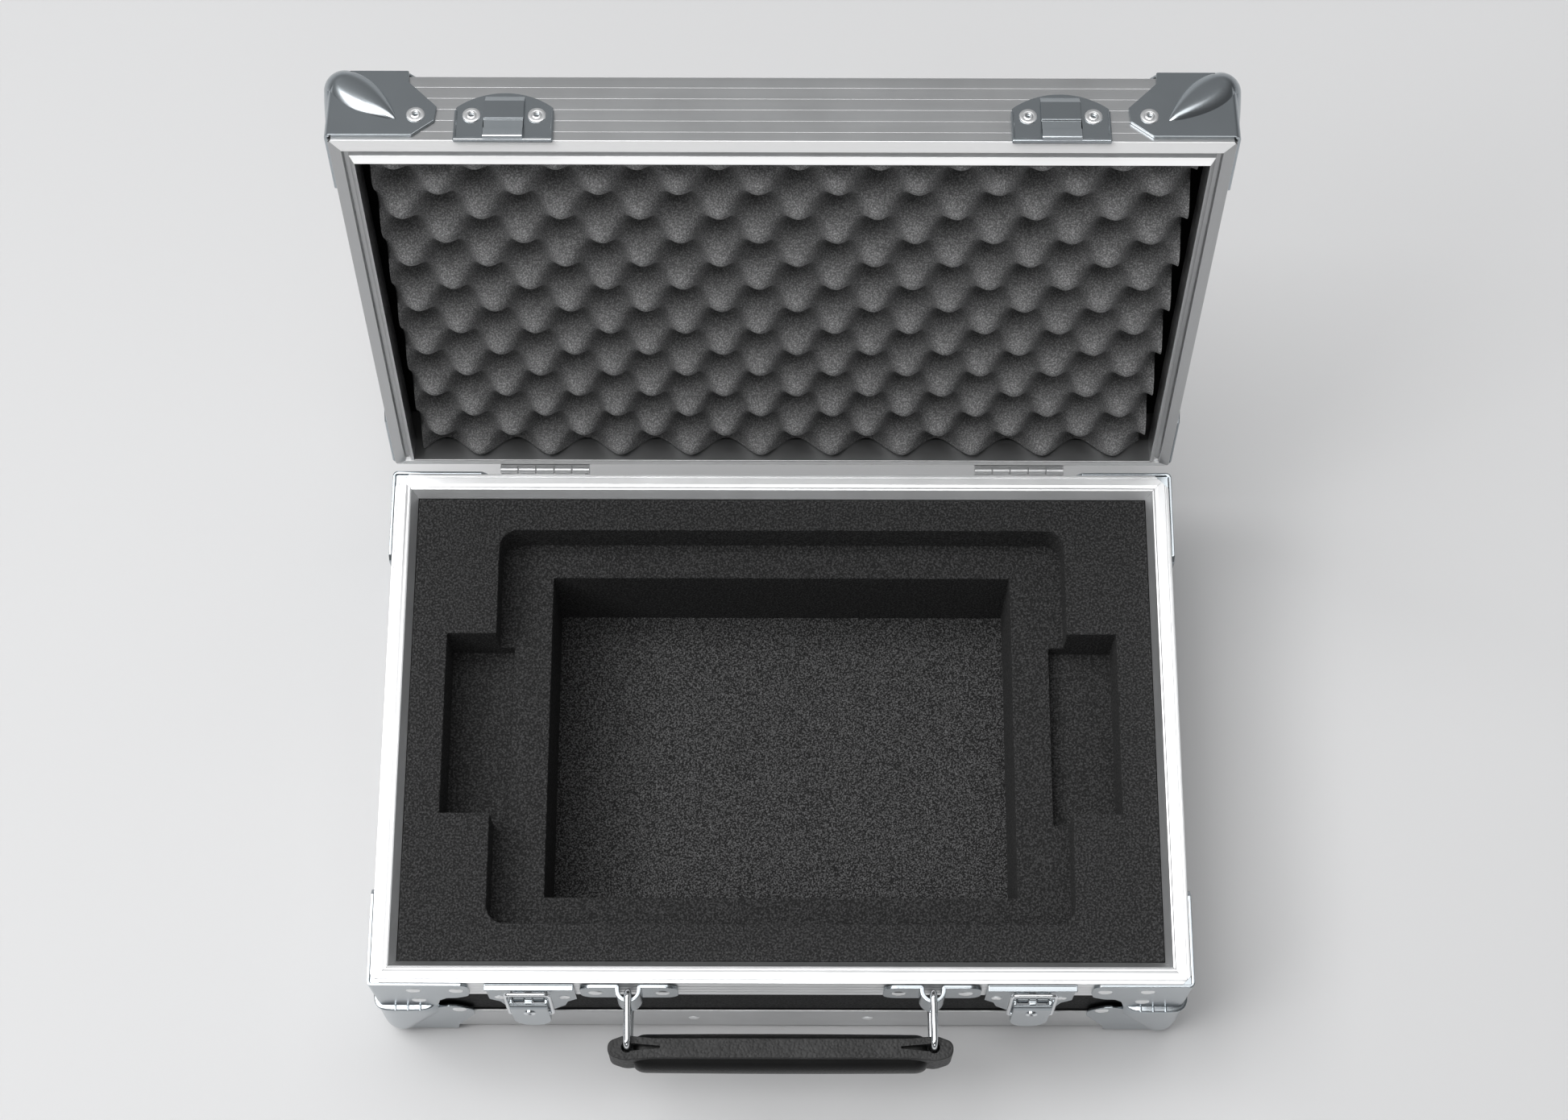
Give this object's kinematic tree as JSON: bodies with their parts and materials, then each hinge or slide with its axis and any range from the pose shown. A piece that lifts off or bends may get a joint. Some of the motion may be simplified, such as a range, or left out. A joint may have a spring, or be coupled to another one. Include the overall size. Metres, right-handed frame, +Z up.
{
  "type": "attache case",
  "caption": "Hard carrying case with aluminium extrusion edges, steel ball corners, a hinged lid, draw catches, a ringed handle and a shaped foam lining.",
  "frame": {"origin": "centre of the bottom panel's underside", "axes": "+X to the case's right as seen from the front, +Y from the front wall towards the hinges, +Z up"},
  "size_m": [0.4604, 0.4482, 0.4232],
  "materials": {
    "aluminium_frame": "satin anodised extrusion with fine lengthwise lines",
    "aluminium_lid": "satin anodised extrusion with shallow grooves",
    "steel_plate": "bright zinc-plated pressed steel",
    "bright_steel": "polished plated steel",
    "chrome_wire": "polished chrome-plated wire",
    "black_laminate": "fine-pebbled black laminate",
    "base_foam": "charcoal open-cell foam",
    "coarse_foam": "coarser charcoal open-cell foam",
    "lid_foam": "grey convoluted open-cell foam",
    "rubber_grip": "fine-grained black moulded rubber"
  },
  "bodies": {
    "base": {"rim_extrusion_front": "aluminium_frame", "rim_extrusion_right": "aluminium_frame", "rim_extrusion_back": "aluminium_frame", "rim_extrusion_left": "aluminium_frame", "lower_extrusion_front": "aluminium_frame", "lower_extrusion_right": "aluminium_frame", "lower_extrusion_back": "aluminium_frame", "lower_extrusion_left": "aluminium_frame", "panel_front": "black_laminate", "panel_back": "black_laminate", "panel_left": "black_laminate", "panel_right": "black_laminate", "panel_bottom": "black_laminate", "foam_floor_pad": "coarse_foam", "foam_insert": "base_foam", "corner_brace_front_right": "steel_plate", "corner_brace_front_left": "steel_plate", "corner_brace_back_right": "steel_plate", "corner_brace_back_left": "steel_plate", "base_ball_corner_front_right": "steel_plate", "base_ball_corner_front_left": "steel_plate", "base_ball_corner_back_right": "steel_plate", "base_ball_corner_back_left": "steel_plate", "handle_strap_left": "steel_plate", "catch_plate_left": "steel_plate", "catch_pin_left": "steel_plate", "hinge_base_leaf_left": "steel_plate", "hinge_pin_left": "steel_plate", "handle_strap_right": "steel_plate", "catch_plate_right": "steel_plate", "catch_pin_right": "steel_plate", "hinge_base_leaf_right": "steel_plate", "hinge_pin_right": "steel_plate"},
    "lid": {"lid_extrusion_front": "aluminium_lid", "lid_extrusion_right": "aluminium_lid", "lid_extrusion_back": "aluminium_lid", "lid_extrusion_left": "aluminium_lid", "lid_panel": "black_laminate", "lid_foam": "lid_foam", "lid_ball_corner_front_right": "steel_plate", "lid_ball_corner_front_left": "steel_plate", "lid_ball_corner_back_right": "steel_plate", "lid_ball_corner_back_left": "steel_plate", "catch_keeper_left": "steel_plate", "hinge_lid_leaf_left": "steel_plate", "catch_keeper_right": "steel_plate", "hinge_lid_leaf_right": "steel_plate"},
    "lever_left": {"catch_lever_left": "bright_steel"},
    "bail_left": {"catch_bail_left": "chrome_wire"},
    "lock_left": {"catch_lock_left": "bright_steel"},
    "ring_left": {"handle_ring_left": "chrome_wire"},
    "lever_right": {"catch_lever_right": "bright_steel"},
    "bail_right": {"catch_bail_right": "chrome_wire"},
    "lock_right": {"catch_lock_right": "bright_steel"},
    "ring_right": {"handle_ring_right": "chrome_wire"},
    "grip": {"handle_grip": "rubber_grip"}
  },
  "joints": [
    {"name": "lid_hinge", "type": "hinge", "parent": "base", "child": "lid", "pos_m": [0, 0.1526, 0.1135], "axis": [1, 0, 0], "range_deg": [0, 100]},
    {"name": "lever_left_lift", "type": "hinge", "parent": "base", "child": "lever_left", "pos_m": [-0.138, -0.1565, 0.1081], "axis": [-1, 0, 0], "range_deg": [0, 90]},
    {"name": "bail_left_pivot", "type": "hinge", "parent": "lever_left", "child": "bail_left", "pos_m": [-0.138, -0.1606, 0.0863], "axis": [-1, 0, 0], "range_deg": [-90, 0]},
    {"name": "lock_left_turn", "type": "hinge", "parent": "lever_left", "child": "lock_left", "pos_m": [-0.138, -0.1633, 0.0985], "axis": [0, -1, 0], "range_deg": [0, 90]},
    {"name": "lever_right_lift", "type": "hinge", "parent": "base", "child": "lever_right", "pos_m": [0.138, -0.1565, 0.1081], "axis": [-1, 0, 0], "range_deg": [0, 90]},
    {"name": "bail_right_pivot", "type": "hinge", "parent": "lever_right", "child": "bail_right", "pos_m": [0.138, -0.1606, 0.0863], "axis": [-1, 0, 0], "range_deg": [-90, 0]},
    {"name": "lock_right_turn", "type": "hinge", "parent": "lever_right", "child": "lock_right", "pos_m": [0.138, -0.1633, 0.0985], "axis": [0, -1, 0], "range_deg": [0, 90]},
    {"name": "handle_swing", "type": "hinge", "parent": "base", "child": "ring_left", "pos_m": [-0.0835, -0.155, 0.0998], "axis": [0, 0, 1], "range_deg": [-55, 55]},
    {"name": "grip_pivot", "type": "hinge", "parent": "ring_left", "child": "grip", "pos_m": [-0.0835, -0.185, 0.1003], "axis": [0, 0, 1], "range_deg": [-55, 55]},
    {"name": "right_ring_pivot", "type": "hinge", "parent": "base", "child": "ring_right", "pos_m": [0.0835, -0.155, 0.0998], "axis": [0, 0, 1], "range_deg": [-55, 55]}
  ],
  "couplings": [
    {"joint": "bail_left_pivot", "follows": "lever_left_lift", "ratio": -1},
    {"joint": "bail_right_pivot", "follows": "lever_right_lift", "ratio": -1},
    {"joint": "grip_pivot", "follows": "handle_swing", "ratio": -1},
    {"joint": "right_ring_pivot", "follows": "handle_swing", "ratio": 1}
  ]
}
